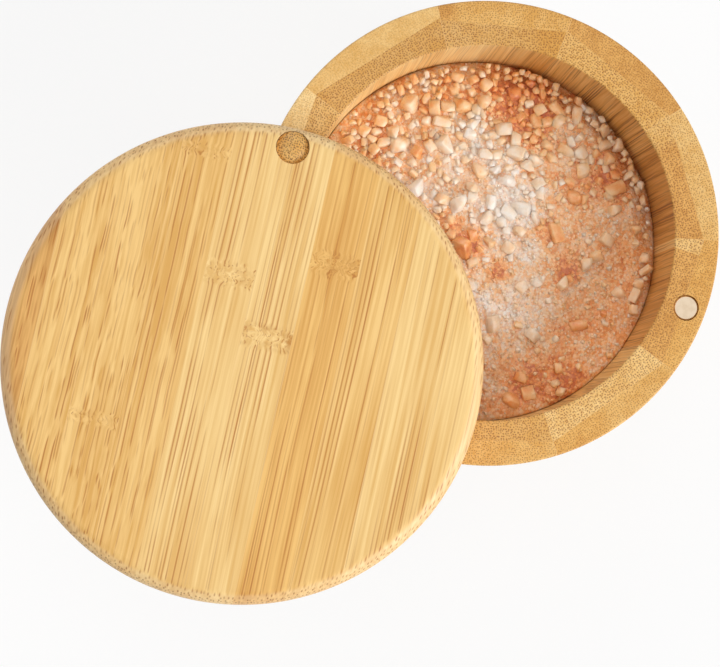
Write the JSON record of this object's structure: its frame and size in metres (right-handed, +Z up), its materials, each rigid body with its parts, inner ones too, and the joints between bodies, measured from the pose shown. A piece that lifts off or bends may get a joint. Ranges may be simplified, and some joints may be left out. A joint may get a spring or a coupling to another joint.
{
  "type": "salt box",
  "caption": "Round bamboo salt box with a coopered wall of two-ply staves and a flat lid that swivels on an upright peg and is held shut by magnets.",
  "frame": {"origin": "centre of the box's underside, on the surface that it stands on", "axes": "+Z up along the axis of the box; +Y towards the pivot peg at the back, -Y towards the magnets at the front. At rest the lid stands open, swung 82 degrees clockwise seen from above"},
  "size_m": [0.129, 0.1238, 0.0697],
  "materials": {
    "bamboo_pale": "satin",
    "bamboo_gold": "satin",
    "bamboo_amber": "satin",
    "bamboo_brown": "satin",
    "peg_bamboo": "matte",
    "bright_nickel": "satin",
    "rock_salt": "matte"
  },
  "bodies": {
    "box": {"stave_01_outer_ply": "bamboo_gold", "stave_02_outer_ply": "bamboo_pale", "stave_03_outer_ply": "bamboo_brown", "stave_04_outer_ply": "bamboo_gold", "stave_05_outer_ply": "bamboo_pale", "stave_06_outer_ply": "bamboo_amber", "stave_07_outer_ply": "bamboo_gold", "stave_08_outer_ply": "bamboo_pale", "stave_09_outer_ply": "bamboo_gold", "stave_10_outer_ply": "bamboo_amber", "stave_01_inner_ply": "bamboo_brown", "stave_02_inner_ply": "bamboo_amber", "stave_03_inner_ply": "bamboo_pale", "stave_04_inner_ply": "bamboo_amber", "stave_05_inner_ply": "bamboo_gold", "stave_06_inner_ply": "bamboo_pale", "stave_07_inner_ply": "bamboo_amber", "stave_08_inner_ply": "bamboo_gold", "stave_09_inner_ply": "bamboo_brown", "stave_10_inner_ply": "bamboo_pale", "floor_strip_01": "bamboo_gold", "floor_strip_02": "bamboo_pale", "floor_strip_03": "bamboo_amber", "floor_strip_04": "bamboo_gold", "floor_strip_05": "bamboo_gold", "floor_strip_06": "bamboo_pale", "floor_strip_07": "bamboo_amber", "floor_strip_08": "bamboo_gold", "floor_strip_09": "bamboo_gold", "pivot_peg": "peg_bamboo", "box_magnet": "bright_nickel", "salt": "rock_salt"},
    "lid": {"lid_strip_01": "bamboo_amber", "lid_strip_02": "bamboo_gold", "lid_strip_03": "bamboo_gold", "lid_strip_04": "bamboo_amber", "lid_strip_05": "bamboo_pale", "lid_strip_06": "bamboo_gold", "lid_strip_07": "bamboo_pale", "lid_strip_08": "bamboo_amber", "lid_strip_09": "bamboo_pale", "lid_strip_10": "bamboo_pale", "lid_magnet": "bright_nickel"}
  },
  "joints": [
    {"name": "lid_swivel", "type": "hinge", "parent": "box", "child": "lid", "pos_m": [0, 0.04055, 0.0577], "axis": [0, 0, 1], "continuous": true}
  ]
}
